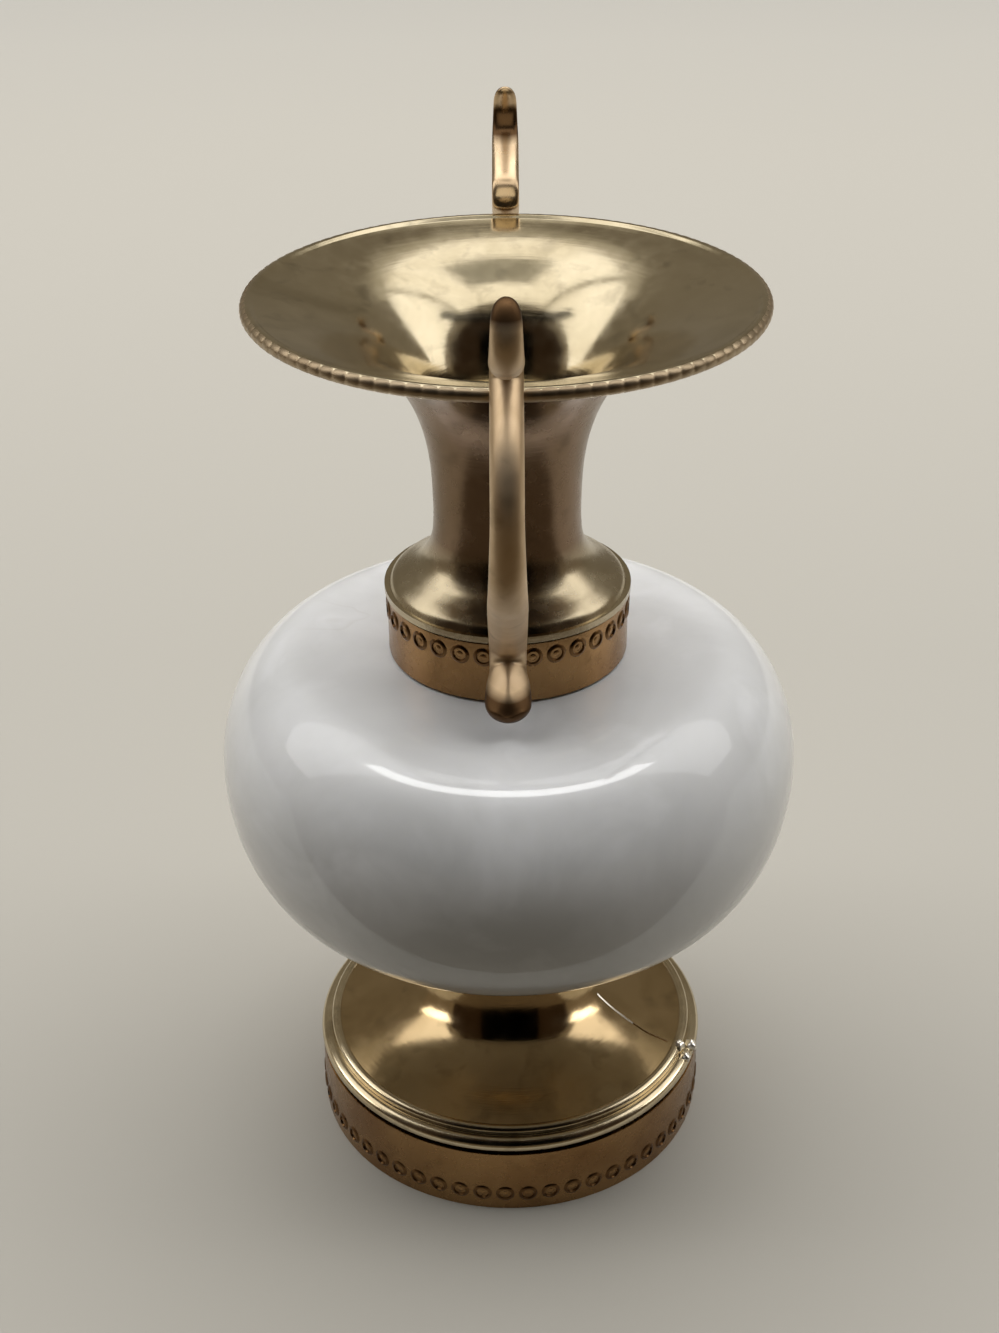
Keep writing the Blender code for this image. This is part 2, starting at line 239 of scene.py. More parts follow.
# What hangs on the softbox, in metres
SKIRT_SIZE = (0.7, 0.10)
SKIRT_PLACE = (0.0, 0.47, 0.62)
SKIRT_LEVEL = (0.50, 0.47, 0.40)
PATCH_SIZE = (0.19, 0.19)
PATCH_PLACE = (0.018, 0.14, 0.60)
PATCH_LEVEL = (0.45, 0.44, 0.40)
BAR_WIDTH = 0.03
BAR_PLACES = (-0.2, 0.265)
BAR_LEVEL = (0.5, 0.48, 0.42)


def add_object(name, data):
    """A new object in the scene."""
    made = bpy.data.objects.new(name, data)
    bpy.context.scene.collection.objects.link(made)
    return made


def add_mesh(name, points, faces):
    """A piece with a smooth-shaded mesh, creased where its faces meet at a steep angle."""
    mesh = bpy.data.meshes.new(name)
    mesh.from_pydata(points, [], faces)
    mesh.validate()
    mesh.update()
    mesh.shade_smooth()
    mesh.set_sharp_from_angle(angle=SHADE_ANGLE)
    return add_object(name, mesh)


def add_smooth(name, mesh):
    """A piece that is smooth all over, from a mesh that was edited and is now freed."""
    data = bpy.data.meshes.new(name)
    mesh.to_mesh(data)
    mesh.free()
    data.shade_smooth()
    return add_object(name, data)


def dress(piece, material, slot, *nodes):
    """Gives a piece its material, its body, and the nodes that it stands for. Its slot is not used."""
    piece.data.materials.append(material)
    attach(piece, BODY)
    if nodes:
        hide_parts(*nodes)
    return piece


def node_mesh(node):
    """A node's mesh, opened for editing, with one vertex at each corner."""
    mesh = bmesh.new()
    mesh.from_mesh(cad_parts[node].data)
    bmesh.ops.remove_doubles(mesh, verts=mesh.verts, dist=MERGE)
    return mesh


def on_circle(radius, angle, height):
    """A point at a distance from the vase's axis, an angle and a height."""
    return Vector((radius * math.cos(angle), radius * math.sin(angle), height))


# Turned pieces


def node_outline(node):
    """The closed outline of a turned node, as (radius, height) points in order round its section."""
    mesh = node_mesh(node)
    on_plane = {v for v in mesh.verts if abs(v.co.y) < MERGE and v.co.x > 0}
    edges = {e for e in mesh.edges if set(e.verts) <= on_plane}
    at = min(on_plane, key=lambda v: (v.co.z, v.co.x))
    outline = []
    while at:
        outline.append(Vector((at.co.x, at.co.z)))
        edge = next((e for e in at.link_edges if e in edges), None)
        edges.discard(edge)
        at = edge.other_vert(at) if edge else None
    mesh.free()
    return outline[:-1]


def tangents(before, point, after):
    """The directions in which a smooth line comes to a point and leaves it."""
    come, leave = point - before, after - point
    if come.angle(leave) > CORNER_ANGLE:
        return come.normalized(), leave.normalized()
    if come.length > STRAIGHT_RATIO * leave.length:
        middle = come.normalized()
    elif leave.length > STRAIGHT_RATIO * come.length:
        middle = leave.normalized()
    else:
        middle = (come.normalized() + leave.normalized()).normalized()
    return middle, middle


def smooth_outline(outline):
    """The outline with a curve through the points between its corners."""
    count = len(outline)
    ways = [tangents(outline[i - 1], outline[i], outline[(i + 1) % count]) for i in range(count)]
    smooth = []
    for i, start in enumerate(outline):
        end = outline[(i + 1) % count]
        reach = (end - start).length / 3
        leave, arrive = ways[i][1], ways[(i + 1) % count][0]
        bend = (end - start).angle(leave) + (end - start).angle(arrive)
        steps = CURVE_STEPS if bend > STRAIGHT_ANGLE else 1
        for step in range(steps):
            t = step / steps
            smooth.append(
                (1 - t) ** 3 * start
                + 3 * (1 - t) ** 2 * t * (start + reach * leave)
                + 3 * (1 - t) * t ** 2 * (end - reach * arrive)
                + t ** 3 * end
            )
    return smooth


def turned(name, outline):
    """A ring turned about the Z axis from a closed outline, which is taken anticlockwise."""
    points, faces = [], []
    count = len(outline)
    area = sum(outline[i - 1].x * outline[i].y - outline[i].x * outline[i - 1].y for i in range(count))
    if area < 0:
        outline = outline[::-1]
    for turn in range(TURN_STEPS):
        angle = math.tau * turn / TURN_STEPS
        points += [on_circle(radius, angle, height) for radius, height in outline]
        here, there = turn * count, (turn + 1) % TURN_STEPS * count
        for i in range(count):
            j = (i + 1) % count
            faces.append((here + i, there + i, there + j, here + j))
    return add_mesh(name, points, faces)


def dull_and_shaded_outside(neck, material):
    """Gives the outside of the neck, up to under the rim, its duller finish, whose dark colour is painted
    shade.
    """
    neck.data.materials.append(material)
    for face in neck.data.polygons:
        outward = face.normal.x * face.center.x + face.normal.y * face.center.y
        if outward > 0 and face.center.z < RIM_TOP - 2 * RIM_ROLL:
            face.material_index = 1


def bright_beads(dish, material):
    """Gives the two mouldings at the foot's edge a lighter brass: painted highlight."""
    dish.data.materials.append(material)
    for face in dish.data.polygons:
        if face.center.xy.length > BEAD_START and face.center.z > BAND_TOP:
            face.material_index = 1


def upper_side(outline):
    """The part of the foot's outline from its lowest point up the outside to its highest."""
    top = max(range(len(outline)), key=lambda i: outline[i].y)
    return outline[:top]


def flatter_dish(outline):
    """The foot's outline with the upper face of its dish leaned a little flatter."""
    leaned = [point.copy() for point in outline]
    for point in upper_side(leaned):
        if DISH_STEM < point.x < DISH_EDGE and point.y > BAND_TOP:
            fade = min(1, (point.x - DISH_STEM) / (DISH_KNEE - DISH_STEM))
            point.y -= DISH_LEAN * (DISH_EDGE - max(point.x, DISH_KNEE)) * fade
    return leaned


# Cast handles


def cast_handle(name, node):
    """A handle's cage, swelled a little and smoothed, with a broader toe that has a ridge on top."""
    mesh = node_mesh(node)
    bmesh.ops.join_triangles(
        mesh, faces=mesh.faces, angle_face_threshold=JOIN_ANGLE, angle_shape_threshold=JOIN_SHAPE
    )
    mesh.normal_update()
    for vert in mesh.verts:
        on_toe = vert.co.z < TOE_TOP and abs(vert.co.y) > TOE_RADIUS
        vert.co += HANDLE_SWELL * vert.normal
        if on_toe:
            vert.co.x += TOE_SWELL * vert.normal.x
        if on_toe and vert.normal.z > LEANS_ABOVE:
            vert.co.z -= TOE_LEAN * (abs(vert.co.y) - TOE_RADIUS)
        if on_toe and vert.normal.z > RIDGE_ABOVE:
            share = math.sin(math.pi * (abs(vert.co.y) - TOE_RADIUS) / (TOE_END - TOE_RADIUS))
            vert.co.x *= 1 - RIDGE_NARROWING * share
            vert.co.z += TOE_RIDGE * share
    piece = add_smooth(name, mesh)
    smooth = piece.modifiers.new("smooth", "SUBSURF")
    smooth.levels = HANDLE_LEVELS
    smooth.render_levels = HANDLE_LEVELS
    return piece


# Ornament


def milled_rim():
    """The row of small rounded lobes round the rolled edge."""
    middle, height = RIM_RADIUS - RIM_ROLL, RIM_TOP - RIM_ROLL
    turns = MILL_COUNT * MILL_STEPS
    points, faces = [], []
    for turn in range(turns):
        angle = math.tau * turn / turns
        lobe = math.sqrt(abs(math.sin(MILL_COUNT * angle / 2)))
        for row in range(MILL_ROWS + 1):
            share = row / MILL_ROWS
            lean = MILL_LOW + share * (MILL_HIGH - MILL_LOW)
            swell = (MILL_BED + MILL_PROUD * lobe) * math.sin(math.pi * share) - MILL_SINK
            reach = RIM_ROLL + swell
            points.append(on_circle(middle + reach * math.cos(lean), angle, height + reach * math.sin(lean)))
        here, there = turn * (MILL_ROWS + 1), (turn + 1) % turns * (MILL_ROWS + 1)
        for row in range(MILL_ROWS):
            faces.append((here + row, there + row, there + row + 1, here + row + 1))
    return add_mesh("milled_rim", points, faces)


def relief_disc(profile, place):
    """Points and faces of a round relief from its (distance, rise) profile, set down by place."""
    points, faces = [], []
    for step in range(CIRCLE_STEPS):
        angle = math.tau * step / CIRCLE_STEPS
        points += [place(d * math.cos(angle), d * math.sin(angle), rise) for d, rise in profile]
        here, there = step * len(profile), (step + 1) % CIRCLE_STEPS * len(profile)
        for i in range(len(profile) - 1):
            faces.append((here + i, here + i + 1, there + i + 1, there + i))
    return points, faces


def circle_profiles():
    """The (distance, rise) profiles of a stamped circle's dot and of its lip."""
    dot = []
    for step in range(DOT_STEPS + 1):
        angle = math.pi / 2 * (1 - step / DOT_STEPS)
        dot.append((DOT_RADIUS * math.cos(angle), DOT_RELIEF * math.sin(angle)))
    crest = CIRCLE_RADIUS - CIRCLE_SLOPE
    lip = [(crest - CIRCLE_WALL, 0)]
    for step in range(LIP_STEPS + 1):
        share = step / LIP_STEPS
        lip.append((crest + CIRCLE_SLOPE * share, CIRCLE_RELIEF * (1 - share ** 2)))
    return dot, lip


def stamped_circles(name, count, radius, height):
    """A row of circles round a band of that radius, with the lips in the second material slot."""
    profiles = circle_profiles()
    points, faces, slots = [], [], []
    for number in range(count):
        middle = math.tau * number / count

        def place(along, up, rise):
            return on_circle(radius + rise, middle + along / radius, height + up)

        for slot, profile in enumerate(profiles):
            new_points, new_faces = relief_disc(profile, place)
            faces += [tuple(len(points) + i for i in face) for face in new_faces]
            points += new_points
            slots += [slot] * len(new_faces)
    circles = add_mesh(name, points, faces)
    circles.data.polygons.foreach_set("material_index", slots)
    return circles


def foot_seam(outline):
    """A fine ridge up the foot's dish, bent near the stem. Its outer end has the second material slot, which
    holds painted shade.
    """
    points, faces = [], []
    rise = Vector((0, 0, SEAM_HEIGHT))
    for radius, height in upper_side(outline):
        if not (SEAM_START < radius < SEAM_END and BAND_TOP < height < SEAM_TOP):
            continue
        angle = SEAM_ANGLE + SEAM_BEND * max(0, (SEAM_STRAIGHT - radius) / (SEAM_STRAIGHT - SEAM_START))
        across = SEAM_WIDTH / 2 * Vector((-math.sin(angle), math.cos(angle), 0))
        middle = on_circle(radius, angle, height)
        here = len(points)
        points += [middle - rise - across, middle + rise, middle - rise + across]
        if here:
            faces.append((here - 3, here - 2, here + 1, here))
            faces.append((here - 2, here - 1, here + 2, here + 1))
    seam = add_mesh("foot_seam", points, faces)
    for face in seam.data.polygons:
        face.material_index = int(face.center.xy.length > SEAM_SHADE_START)
    return seam


def solder_blobs():
    """Small lumps of solder where the seam crosses the mouldings."""
    mesh = bmesh.new()
    for angle, radius, height, size in SOLDER:
        place = on_circle(radius * MM, math.radians(angle), height * MM)
        made = bmesh.ops.create_icosphere(mesh, subdivisions=SOLDER_LEVELS, radius=size * MM)
        for vert in made["verts"]:
            wave, cross = (turns * way / (size * MM) for turns, way in zip(SOLDER_WAVES, vert.co.xy))
            lump = 1 + SOLDER_LUMPS * math.sin(wave + angle) * math.cos(cross)
            vert.co = place + vert.co * lump
    return add_smooth("solder_blobs", mesh)


# Nodes of the materials


def add_node(tree, kind, inputs=None, **settings):
    """A shader node with its settings, and its inputs set to values or linked to sockets."""
    node = tree.nodes.new("ShaderNode" + kind)
    for name, value in settings.items():
        setattr(node, name, value)
    for name, value in (inputs or {}).items():
        if isinstance(value, bpy.types.NodeSocket):
            tree.links.new(value, node.inputs[name])
        else:
            node.inputs[name].default_value = value
    return node


def new_material(name):
    """A material with its node tree, its surface shader and the object's own coordinates."""
    material = bpy.data.materials.new(name)
    material.use_nodes = True
    tree = material.node_tree
    place = add_node(tree, "TexCoord").outputs["Object"]
    return material, tree, tree.nodes["Principled BSDF"], place


def calculate(tree, operation, *values):
    """The result of an operation on numbers or sockets."""
    return add_node(tree, "Math", dict(enumerate(values)), operation=operation).outputs[0]


def length(tree, vector):
    """The length of a vector."""
    return add_node(tree, "VectorMath", {0: vector}, operation="LENGTH").outputs["Value"]


def noise(tree, place, scale, detail=4.0, distortion=0.0):
    """A soft noise from 0 to 1."""
    settings = {"Vector": place, "Scale": scale, "Detail": detail, "Distortion": distortion}
    return add_node(tree, "TexNoise", settings).outputs["Fac"]


def spread(tree, value, low, high, start=0.0, end=1.0):
    """The value stretched from low..high to start..end, and held there."""
    inputs = {"Value": value, "From Min": low, "From Max": high, "To Min": start, "To Max": end}
    return add_node(tree, "MapRange", inputs).outputs["Result"]


def blend(tree, share, first, second):
    """A colour between two colours."""
    node = add_node(tree, "Mix", {0: share, 6: first, 7: second}, data_type="RGBA")
    return node.outputs[2]


def opaque(colour):
    """A colour with its alpha."""
    return (*colour, 1.0)


def bump(tree, height, distance):
    """A normal that leans with a height."""
    return add_node(tree, "Bump", {"Height": height, "Distance": distance}).outputs["Normal"]


def round_the_axis(tree, place):
    """Coordinates that run along a turned piece's tool marks: radius, height and a little of the angle."""
    flat = add_node(tree, "VectorMath", {0: place, 1: (1, 1, 0)}, operation="MULTIPLY").outputs[0]
    parts = add_node(tree, "SeparateXYZ", {0: place}).outputs
    angle = calculate(tree, "ARCTAN2", parts["Y"], parts["X"])
    little = calculate(tree, "MULTIPLY", angle, MARK_TURN)
    return add_node(tree, "CombineXYZ", {0: length(tree, flat), 1: parts["Z"], 2: little}).outputs[0]


def looked_at(tree):
    """1 where the camera sees a surface, itself or in a mirror or glass, and 0 where it only lends light."""
    rays = add_node(tree, "LightPath").outputs
    seen = rays["Is Camera Ray"]
    for kind in ("Is Glossy Ray", "Is Transmission Ray"):
        seen = calculate(tree, "MAXIMUM", seen, rays[kind])
    return seen


# Metals


def metal(name, bright, dull, gloss, spun=False):
    """Worn metal: dull clouds, dark spots, a roughness within gloss, and tool marks where it is spun."""
    material, tree, surface, place = new_material(name)
    wear = spread(tree, noise(tree, place, scale=95, detail=5, distortion=0.6), low=0.42, high=0.68)
    spots = spread(tree, noise(tree, place, scale=330, distortion=0.3), low=0.56, high=0.72, end=0.4)
    specks = spread(tree, noise(tree, place, scale=620, detail=3), 0.3, 0.7, *gloss)
    worn = blend(tree, wear, opaque(bright), opaque(dull))
    dark = tuple(SPOT_SHADE * c for c in dull)
    if spun:
        marks = noise(tree, round_the_axis(tree, place), scale=2600, detail=2)
    else:
        marks = noise(tree, place, scale=900, detail=2)
    surface.inputs["Metallic"].default_value = 1.0
    tree.links.new(blend(tree, spots, worn, opaque(dark)), surface.inputs["Base Color"])
    tree.links.new(specks, surface.inputs["Roughness"])
    tree.links.new(bump(tree, marks, MARK_DEPTH), surface.inputs["Normal"])
    return material


def tint(material, colour, *fades):
    """Gives a metal another colour past every one of its fades, each from one height to another."""
    tree = material.node_tree
    base = tree.nodes["Principled BSDF"].inputs["Base Color"]
    place = add_node(tree, "TexCoord").outputs["Object"]
    height = add_node(tree, "SeparateXYZ", {0: place}).outputs["Z"]
    share = 1.0
    for start, end in fades:
        share = calculate(tree, "MULTIPLY", share, spread(tree, height, start, end))
    tree.links.new(blend(tree, share, base.links[0].from_socket, opaque(colour)), base)


def gilt_spun():
    """The pale brass inside the neck."""
    return metal("gilt_brass_spun", (0.65, 0.56, 0.39), (0.51, 0.43, 0.28), gloss=(0.11, 0.19), spun=True)


def gilt_foot():
    """The warmer brass of the foot's dish."""
    return metal("gilt_brass_foot", (0.54, 0.40, 0.22), (0.42, 0.30, 0.15), gloss=(0.11, 0.19), spun=True)


def gilt_bead_highlight():
    """The lighter brass of the foot's mouldings: painted highlight."""
    return metal("gilt_brass_bead_highlight", (0.70, 0.60, 0.42), (0.56, 0.46, 0.30), gloss=(0.16, 0.24), spun=True)


def gilt_cast(name, gloss, bands):
    """A handle's cast brass, painted dark between some heights as painted shade."""
    material = metal(name, (0.68, 0.52, 0.34), (0.54, 0.39, 0.23), gloss)
    for low, high in bands:
        rise = (low - PAINTED_SHADE_FADE, low + PAINTED_SHADE_FADE)
        fall = (high + PAINTED_SHADE_FADE, high - PAINTED_SHADE_FADE)
        tint(material, PAINTED_SHADE, rise, fall)
    return material


def gilt_dull_and_shaded():
    """The neck's outside: rougher and painted dark at the waist as painted shade, and brighter from where
    the dome begins.
    """
    waist = (0.25, 0.17, 0.11)
    deeper_shade = (0.18, 0.12, 0.065)
    material = metal("gilt_brass_dull_and_shaded", waist, deeper_shade, gloss=(0.20, 0.30), spun=True)
    tint(material, DOME_GILT, (WAIST_HEIGHT, DOME_TOP))
    return material


def gilt_rim():
    """The matt brass of the milled edge."""
    return metal("gilt_brass_rim", (0.50, 0.40, 0.27), (0.40, 0.30, 0.19), gloss=(0.34, 0.44))


def red_stamped():
    """The redder brass of the stamped bands."""
    return metal("red_brass_stamped", (0.39, 0.23, 0.10), (0.28, 0.15, 0.06), gloss=(0.22, 0.32))


def patina_and_painted_shade():
    """Dark oxide that stays in the stamping, also used as painted shade on the seam's outer end."""
    return metal("patina_and_painted_shade", (0.20, 0.11, 0.045), (0.12, 0.06, 0.025), gloss=(0.25, 0.35))


def solder_metal():
    """Pale solder."""
    return metal("solder_metal", (0.90, 0.86, 0.77), (0.75, 0.68, 0.57), gloss=(0.30, 0.40))


def plated_steel():
    """The steel of the rod, its nuts and its washers."""
    return metal("plated_steel", (0.55, 0.55, 0.54), (0.42, 0.41, 0.40), gloss=(0.30, 0.42), spun=True)


# Stone, floor and cards


def faint_veins(tree, place):
    """Thin lines where a noise passes through one level, shown in patches."""
    level = noise(tree, place, scale=26, detail=3, distortion=1.0)
    away = calculate(tree, "ABSOLUTE", calculate(tree, "SUBTRACT", level, VEIN_LEVEL))
    lines = spread(tree, away, 0.0, VEIN_WIDTH, start=1.0, end=0.0)
    patches = spread(tree, noise(tree, place, scale=55, detail=2), 0.50, 0.62, end=0.2)
    return calculate(tree, "MULTIPLY", lines, patches)


def polished_marble():
    """White marble: soft grey clouds, pale blotches, a few faint warm veins and a polish."""
    material, tree, surface, place = new_material("polished_marble")
    clouds = spread(tree, noise(tree, place, scale=38, detail=5, distortion=0.8), 0.36, 0.66)
    blotches = spread(tree, noise(tree, place, scale=75, distortion=0.5), 0.54, 0.70, end=0.75)
    mottle = noise(tree, place, scale=190, distortion=0.4)
    colour = blend(tree, clouds, opaque(MARBLE_WHITE), opaque(MARBLE_CLOUD))
    colour = blend(tree, blotches, colour, opaque(MARBLE_BLOTCH))
    colour = blend(tree, spread(tree, mottle, 0.55, 0.75, end=0.3), colour, opaque(MARBLE_MOTTLE))
    colour = blend(tree, faint_veins(tree, place), colour, opaque(MARBLE_VEIN))
    tree.links.new(colour, surface.inputs["Base Color"])
    tree.links.new(spread(tree, mottle, 0.3, 0.7, start=0.32, end=0.42), surface.inputs["Roughness"])
    surface.inputs["Coat Weight"].default_value = 1.0
    surface.inputs["Coat Roughness"].default_value = 0.05
    surface.inputs["Subsurface Weight"].default_value = 0.15
    surface.inputs["Subsurface Radius"].default_value = (0.9, 0.9, 0.8)
    surface.inputs["Subsurface Scale"].default_value = 1.5 * MM
    return material


def pale_floor():
    """A plain pale table top, painted lighter to the back as painted light, that fades into the room far
    away and lends the vase only a little light.
    """
    material, tree, surface, place = new_material("pale_floor")
    # Painted light: the floor's colour gets lighter towards the back.
    painted_lighter = tuple(FLOOR_PAINTED_LIGHT * c for c in FLOOR_COLOUR)
    away = spread(tree, add_node(tree, "SeparateXYZ", {0: place}).outputs["Y"], *FLOOR_PAINTED_SPAN)
    mottle = spread(tree, noise(tree, place, scale=4, detail=3), 0.0, 1.0, -FLOOR_MOTTLE, FLOOR_MOTTLE)
    pale = blend(tree, calculate(tree, "ADD", away, mottle), opaque(FLOOR_COLOUR), opaque(painted_lighter))
    far = spread(tree, length(tree, place), *FLOOR_END)
    near = blend(tree, far, pale, opaque(BLACK))
    seen = looked_at(tree)
    tree.links.new(blend(tree, seen, opaque(FLOOR_BOUNCE), near), surface.inputs["Base Color"])
    tree.links.new(calculate(tree, "MULTIPLY", far, seen), surface.inputs["Emission Strength"])
    surface.inputs["Emission Color"].default_value = opaque(ROOM_COLOUR)
    surface.inputs["Roughness"].default_value = 1.0
    surface.inputs["Specular IOR Level"].default_value = 0.0
    return material


def glowing(name, level):
    """A part of the room for the metal to mirror, as bright as its level."""
    material, _, surface, _ = new_material(name)
    surface.inputs["Base Color"].default_value = opaque(BLACK)
    surface.inputs["Specular IOR Level"].default_value = 0.0
    surface.inputs["Emission Color"].default_value = opaque(level)
    surface.inputs["Emission Strength"].default_value = 1.0
    return material


# Studio


def add_camera():
    """The camera where the picture was taken from."""
    forward = Vector((
        math.sin(CAMERA_YAW) * math.cos(CAMERA_PITCH),
        math.cos(CAMERA_YAW) * math.cos(CAMERA_PITCH),
        -math.sin(CAMERA_PITCH),
    ))
    level = Vector((math.cos(CAMERA_YAW), -math.sin(CAMERA_YAW), 0))
    steep = level.cross(forward)
    right = math.cos(CAMERA_ROLL) * level + math.sin(CAMERA_ROLL) * steep
    up = math.cos(CAMERA_ROLL) * steep - math.sin(CAMERA_ROLL) * level
    lens = bpy.data.cameras.new("camera")
    lens.sensor_fit = "VERTICAL"
    lens.sensor_height = SENSOR
    lens.lens = SENSOR * FOCAL_PIXELS / PHOTO_HEIGHT
    lens.clip_start = CAMERA_NEAR
    camera = add_object("camera", lens)
    turn = Matrix((right, up, -forward)).transposed()
    camera.matrix_world = Matrix.Translation((0, -CAMERA_BACK, CAMERA_HEIGHT)) @ turn.to_4x4()
    bpy.context.scene.camera = camera


def add_card(name, corners, material):
    """A flat card on the stage."""
    mesh = bpy.data.meshes.new(name)
    mesh.from_pydata(corners, [], [tuple(range(len(corners)))])
    mesh.materials.append(material)
    card = add_object(name, mesh)
    return card


def mirrored_card(name, corners, level):
    """A card out of the picture that only shows in the metal and in the marble's polish."""
    card = add_card(name, corners, glowing(name, level))
    card.visible_camera = False
    card.visible_shadow = False
    card.visible_diffuse = False
    return card


def upright(left, right, top):
    """The corners of a card that stands upright on the floor between two points."""
    return [(*left, 0), (*right, 0), (*right, top), (*left, top)]


def across_stage(side, y, top):
    """The corners of an upright card that runs as far to the left as to the right."""
    return upright((-side, y), (side, y), top)


def level_card(place, size):
    """The corners of a level card about a place."""
    x, y, z = place
    wide, deep = size[0] / 2, size[1] / 2
    ways = ((-wide, -deep), (wide, -deep), (wide, deep), (-wide, deep))
    return [(x + right, y + back, z) for right, back in ways]


def room_wide(front, back, height):
    """The corners of a level card that is as wide as the room."""
    return level_card((0, (front + back) / 2, height), (2 * CARD_SIDE, back - front))


def arch():
    """The corners of a level strip bent round half an ellipse that opens to the back."""
    x, y, z = ARCH_MIDDLE
    turns = [ARCH_ANGLE * (2 * step / ARCH_STEPS - 1) for step in range(ARCH_STEPS + 1)]
    corners = []
    for side, order in ((0.5, turns), (-0.5, turns[::-1])):
        wide, deep = (reach + side * ARCH_WIDTH for reach in ARCH_REACH)
        corners += [(x + wide * math.sin(turn), y - deep * math.cos(turn), z) for turn in order]
    return corners


def add_floor():
    """The round floor."""
    edge = [on_circle(FLOOR_RADIUS, math.tau * step / FLOOR_STEPS, 0) for step in range(FLOOR_STEPS)]
    add_card("floor", edge, pale_floor())


def add_flags():
    """The dim room that the brass mirrors, a painted shadow on the floor in front, and the skirt, the patch
    and the bars on the softbox.
    """
    mirrored_card("front_card", across_stage(CARD_SIDE, CARD_FRONT, CARD_HEIGHT), FRONT_LEVEL)
    # Painted shadow: a dark sheet on the floor in front, seen only in the metal.
    mirrored_card("front_floor_shade", room_wide(CARD_FRONT, FLOOR_SHADE_EDGE, MM), FLOOR_SHADE_LEVEL)
    mirrored_card("back_card", across_stage(CARD_SIDE, CARD_BACK, CARD_HEIGHT), BACK_LEVEL)
    for side, x in (("left", -CARD_SIDE), ("right", CARD_SIDE)):
        mirrored_card(side + "_card", upright((x, CARD_FRONT), (x, CARD_BACK), CARD_HEIGHT), SIDE_LEVEL)
    mirrored_card("ceiling_card", room_wide(CARD_FRONT, CARD_BACK, CARD_HEIGHT), CEILING_LEVEL)
    mirrored_card("softbox_skirt", level_card(SKIRT_PLACE, SKIRT_SIZE), SKIRT_LEVEL)
    mirrored_card("softbox_patch", level_card(PATCH_PLACE, PATCH_SIZE), PATCH_LEVEL)
    for number, x in enumerate(BAR_PLACES):
        bar = level_card((x, SOFTBOX_PLACE[1], PATCH_PLACE[2]), (BAR_WIDTH, SOFTBOX_SIZE[1]))
        mirrored_card(f"softbox_bar_{number}", bar, BAR_LEVEL)


def add_lamp(name, size, place, level):
    """A flat lamp that shines down, as bright to look at as its level."""
    lamp = bpy.data.lights.new(name, "AREA")
    lamp.shape = "RECTANGLE"
    lamp.size, lamp.size_y = size
    lamp.energy = level * math.pi * size[0] * size[1]
    light = add_object(name, lamp)
    light.location = place
    return light


def add_lamps():
    """A wide softbox close above the vase, and two lamps that the brass doesn't mirror."""
    add_lamp("softbox", SOFTBOX_SIZE, SOFTBOX_PLACE, SOFTBOX_LEVEL)
    add_lamp("glow", GLOW_SIZE, GLOW_PLACE, GLOW_LEVEL).visible_glossy = False
    add_lamp("fill", FILL_SIZE, FILL_PLACE, FILL_LEVEL).visible_glossy = False


def light_only(piece, light):
    """Lets a lamp or a card light only one piece."""
    light.light_linking.receiver_collection = bpy.data.collections.new(light.name)
    light.light_linking.receiver_collection.objects.link(piece)


def add_own_lights(marble, dish, front, back, solder):
    """The strip along the marble's shoulder, and the lights for the foot, the handles and the solder."""
    light_only(marble, mirrored_card("shoulder_strip", arch(), ARCH_LEVEL))
    for side, x in (("left", -WING_PLACE), ("right", WING_PLACE)):
        light_only(dish, add_lamp(f"foot_wing_{side}", WING_SIZE, (x, *SOFTBOX_PLACE[1:]), WING_LEVEL))
    light_only(front, add_lamp("hook_light", HOOK_SIZE, HOOK_PLACE, HOOK_LEVEL))
    light_only(back, add_lamp("crest_light", CREST_SIZE, CREST_PLACE, CREST_LEVEL))
    shank = across_stage(SHANK_SIDE, SHANK_FRONT, SHANK_HEIGHT)
    light_only(back, mirrored_card("shank_light", shank, SHANK_LEVEL))
    for piece in solder:
        name = piece.name + "_light"
        light_only(piece, add_lamp(name, SOLDER_LIGHT_SIZE, SOLDER_LIGHT_PLACE, SOLDER_LIGHT_LEVEL))


def add_room():
    """A pale room to look at, which lends the vase only a little light."""
    world = bpy.data.worlds.new("room")
    world.use_nodes = True
    tree = world.node_tree
    colour = blend(tree, looked_at(tree), opaque(ROOM_LIGHT), opaque(ROOM_COLOUR))
    tree.links.new(colour, tree.nodes["Background"].inputs["Color"])
    bpy.context.scene.world = world


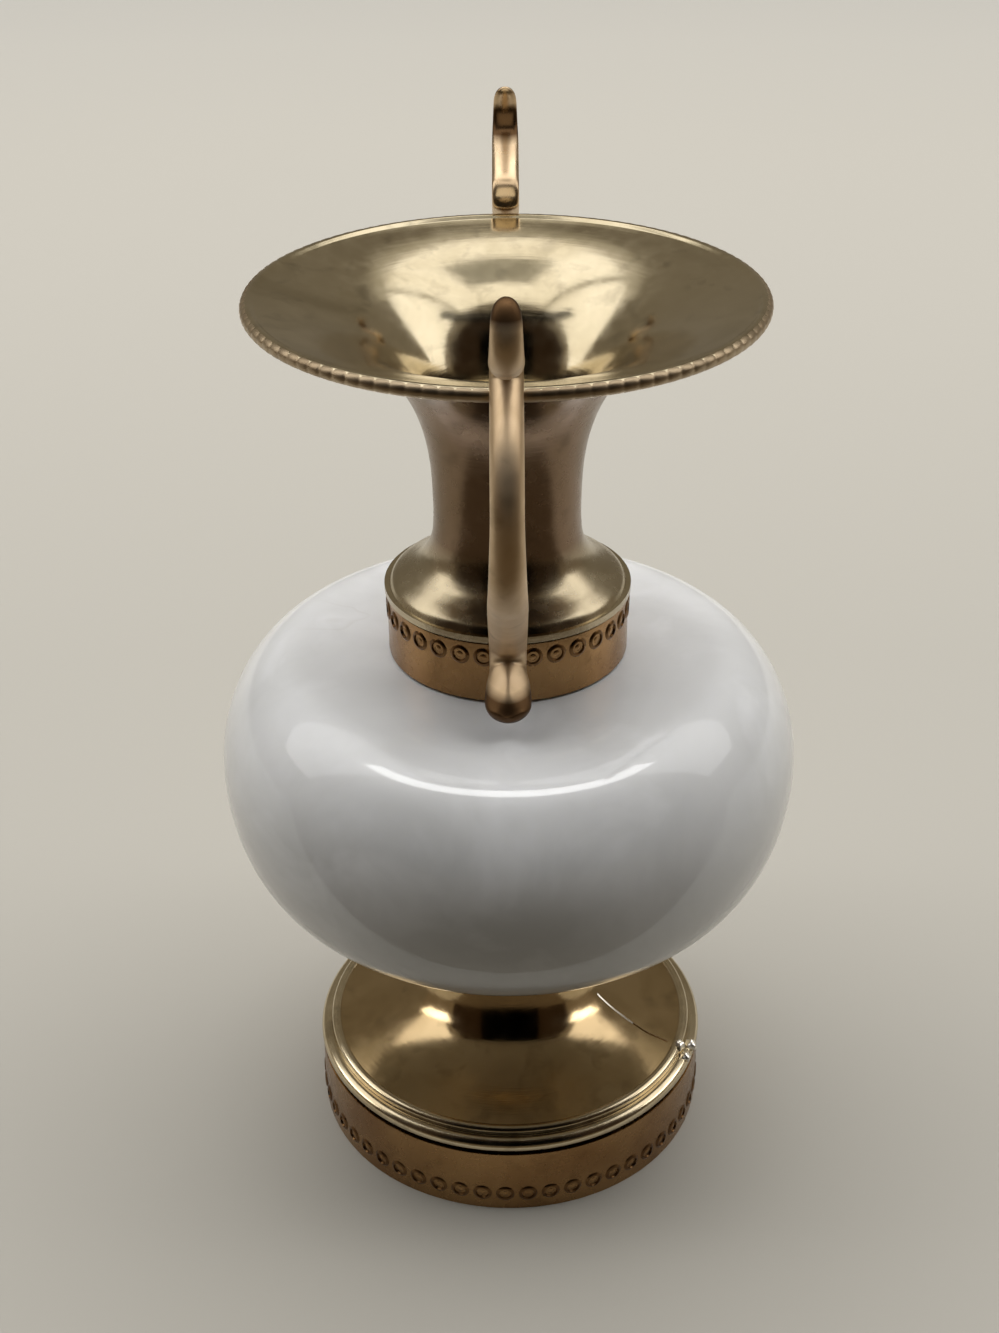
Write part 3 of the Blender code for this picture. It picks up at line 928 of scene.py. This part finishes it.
def build():
    """All the pieces, then the stage."""
    spun, foot, stamped, patina_and_shade = gilt_spun(), gilt_foot(), red_stamped(), patina_and_painted_shade()
    outline = smooth_outline(flatter_dish(node_outline("foot_dish")))
    dish = dress(turned("spun_foot_dish", outline), foot, "gilt_brass", "foot_dish")
    # The mouldings get a lighter brass: painted highlight.
    bright_beads(dish, gilt_bead_highlight())
    neck = turned("spun_neck", smooth_outline(node_outline("neck_trumpet")))
    dress(neck, spun, "gilt_brass", "neck_trumpet")
    # The neck's outside gets a darker brass: painted shade.
    dull_and_shaded_outside(neck, gilt_dull_and_shaded())
    marble = turned("polished_body", smooth_outline(node_outline("marble_body")))
    dress(marble, polished_marble(), "white_marble", "marble_body")
    dress(turned("foot_ring", node_outline("foot_band")), stamped, "red_brass", "foot_band")
    dress(turned("collar_ring", node_outline("collar_band")), stamped, "red_brass", "collar_band")

    # The front handle's tip and toe are painted dark: painted shade.
    front_brass = gilt_cast("gilt_brass_front", (0.42, 0.52), FRONT_PAINTED_SHADE)
    front = cast_handle("scroll_handle_front", "handle_front")
    dress(front, front_brass, "gilt_brass", "handle_front")
    # The inside of the back hook is painted dark: painted shade.
    back_brass = gilt_cast("gilt_brass_back", (0.24, 0.34), BACK_PAINTED_SHADE)
    back = cast_handle("scroll_handle_back", "handle_back")
    dress(back, back_brass, "gilt_brass", "handle_back")

    dress(milled_rim(), gilt_rim(), "gilt_brass")
    for circles in (
        stamped_circles("foot_circles", FOOT_CIRCLES, BAND_RADIUS, FOOT_CIRCLE_HEIGHT),
        stamped_circles("collar_circles", COLLAR_CIRCLES, COLLAR_RADIUS, COLLAR_CIRCLE_HEIGHT),
    ):
        dress(circles, stamped, "red_brass").data.materials.append(patina_and_shade)
    pale = solder_metal()
    seam = dress(foot_seam(outline), pale, "gilt_brass")
    # The seam's outer end is dark: painted shade.
    seam.data.materials.append(patina_and_shade)
    drops = dress(solder_blobs(), pale, "gilt_brass")

    steel = plated_steel()
    for node in ("tie_rod", "foot_washer", "foot_nut", "neck_washer", "neck_nut"):
        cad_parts[node].data.materials[0] = steel
    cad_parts["neck_floor"].data.materials[0] = spun

    add_camera()
    add_floor()
    add_flags()
    add_own_lights(marble, dish, front, back, (seam, drops))
    add_lamps()
    add_room()
    bpy.context.scene.view_settings.view_transform = "Standard"


build()
